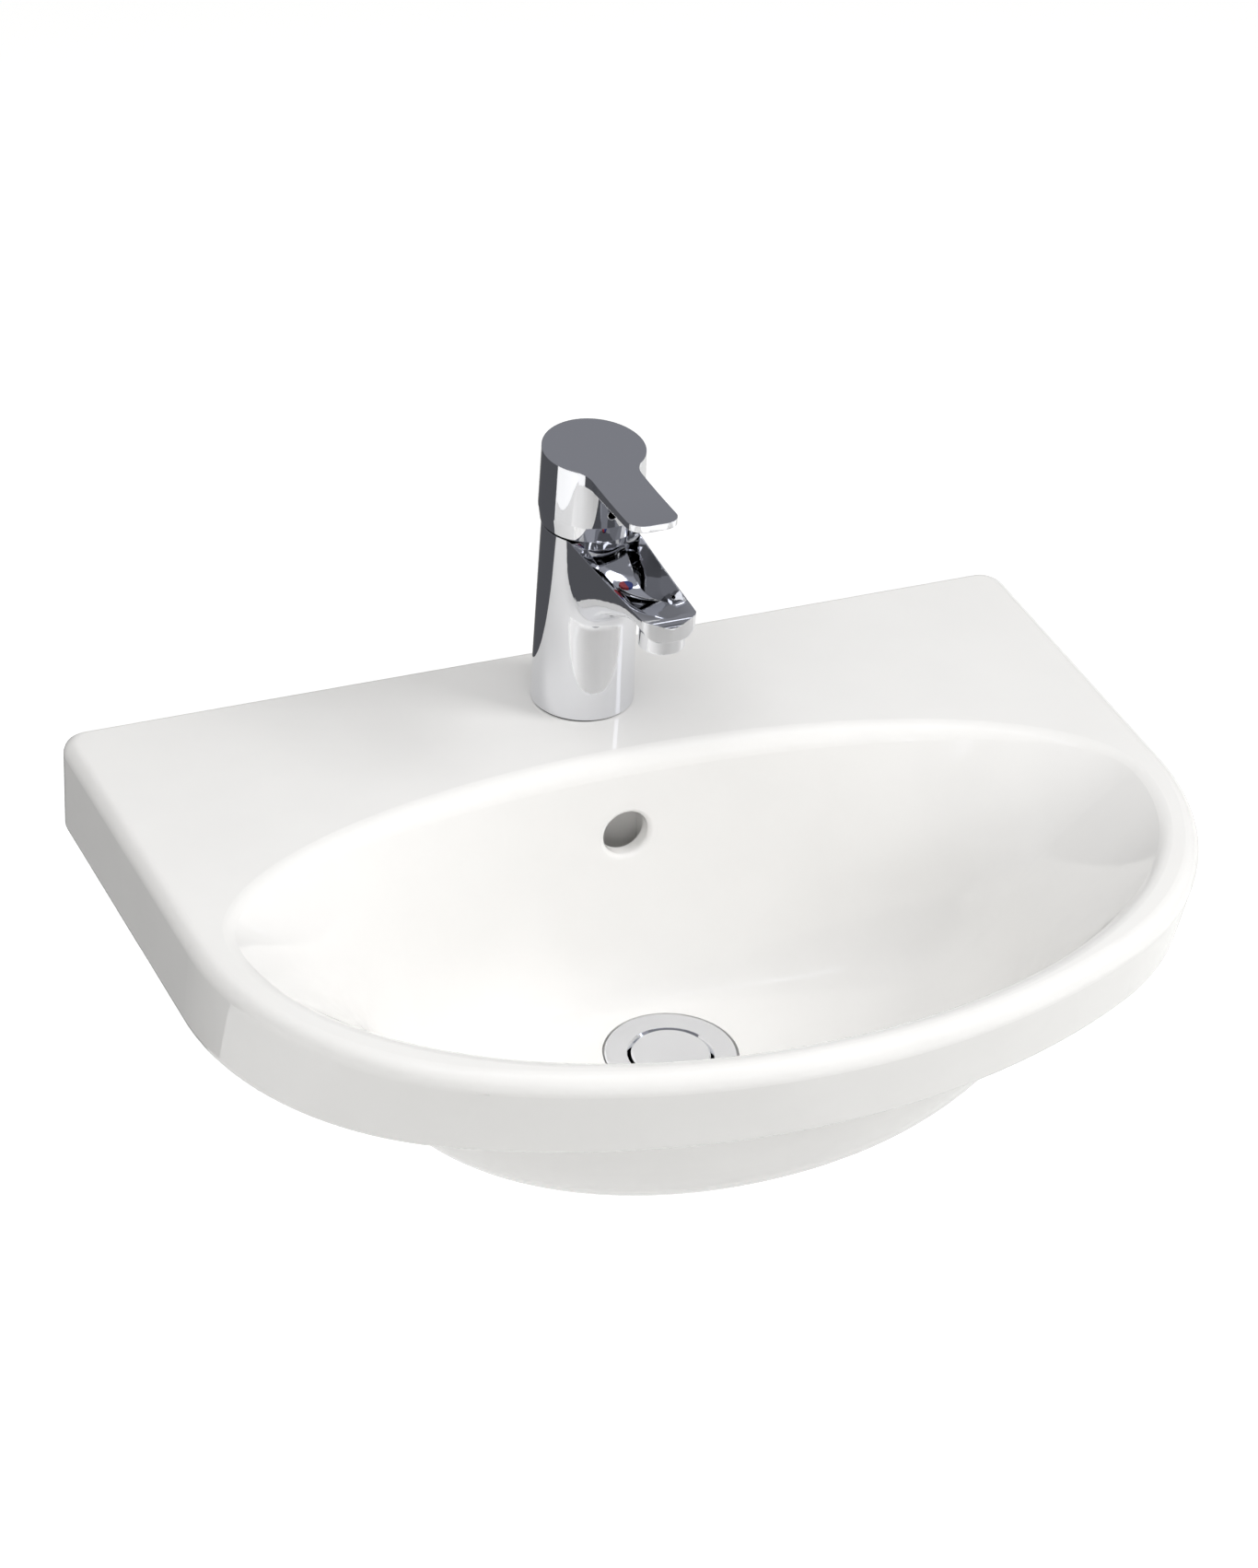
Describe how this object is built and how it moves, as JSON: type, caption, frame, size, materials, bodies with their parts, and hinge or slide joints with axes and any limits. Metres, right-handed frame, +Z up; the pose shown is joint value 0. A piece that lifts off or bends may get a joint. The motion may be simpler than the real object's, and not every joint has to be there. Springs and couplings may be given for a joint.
{
  "type": "wall-hung hand basin with mixer tap",
  "caption": "White wall-hung hand basin with a wide oval bowl, flat rear deck, chrome single-lever mixer tap, overflow hole and push-open waste.",
  "frame": {"origin": "on the wall, midway between the two wall bolts", "axes": "+X along the wall to the right as seen from the room, +Y into the wall, +Z up"},
  "size_m": [0.5596, 0.3995, 0.3714],
  "materials": {
    "vitreous_china": "glossy white glaze",
    "chromed_brass": "bright chrome plate",
    "brass": "turned",
    "stainless_steel": "plain",
    "black_rubber": "matt",
    "alumina_ceramic": "lapped",
    "white_acetal": "moulded",
    "grey_acetal": "moulded",
    "red_plastic": "glossy",
    "blue_plastic": "glossy"
  },
  "bodies": {
    "basin_and_tap": {"basin": "vitreous_china", "tap_body": "chromed_brass", "tap_collar": "chromed_brass", "aerator_housing": "chromed_brass", "waste_body": "chromed_brass", "cartridge_nut": "brass", "fixing_nut": "brass", "waste_backnut": "brass", "fixing_stud": "stainless_steel", "fixing_clamp_plate": "stainless_steel", "click_spring": "stainless_steel", "tap_base_seal": "black_rubber", "hot_port_seal": "black_rubber", "cold_port_seal": "black_rubber", "outlet_port_seal": "black_rubber", "aerator_seal": "black_rubber", "fixing_rubber_washer": "black_rubber", "waste_flange_seal": "black_rubber", "waste_gasket": "black_rubber", "fixed_ceramic_disc": "alumina_ceramic", "cartridge_housing": "white_acetal", "cartridge_base": "white_acetal", "click_guide": "white_acetal", "waste_slip_washer": "white_acetal", "aerator_insert": "grey_acetal", "hot_mark": "red_plastic", "cold_mark": "blue_plastic"},
    "cartridge_rotor": {"cartridge_rotor": "white_acetal", "spindle_pin": "stainless_steel"},
    "lever": {"lever_handle": "chromed_brass", "spindle": "brass", "lever_grub_screw": "stainless_steel"},
    "mixing_disc": {"moving_ceramic_disc": "alumina_ceramic", "disc_carrier": "white_acetal"},
    "plug": {"waste_plug": "chromed_brass", "plug_seal": "black_rubber", "plug_stem": "white_acetal"}
  },
  "joints": [
    {"name": "lever_turn", "type": "hinge", "parent": "basin_and_tap", "child": "cartridge_rotor", "pos_m": [0, -0.0504, 0.187], "axis": [0, 0, 1], "range_deg": [-45, 45]},
    {"name": "lever_tilt", "type": "hinge", "parent": "cartridge_rotor", "child": "lever", "pos_m": [0, -0.0504, 0.187], "axis": [-1, 0, 0], "range_deg": [0, 25]},
    {"name": "disc_slide", "type": "slide", "parent": "cartridge_rotor", "child": "mixing_disc", "axis": [0, -1, 0], "range_m": [0, 0.0039]},
    {"name": "plug_slide", "type": "slide", "parent": "basin_and_tap", "child": "plug", "axis": [0, 0, 1], "range_m": [0, 0.008], "deforming": ["click_spring"]}
  ],
  "couplings": [
    {"joint": "disc_slide", "follows": "lever_tilt", "m_per_rad": 0.008929}
  ]
}
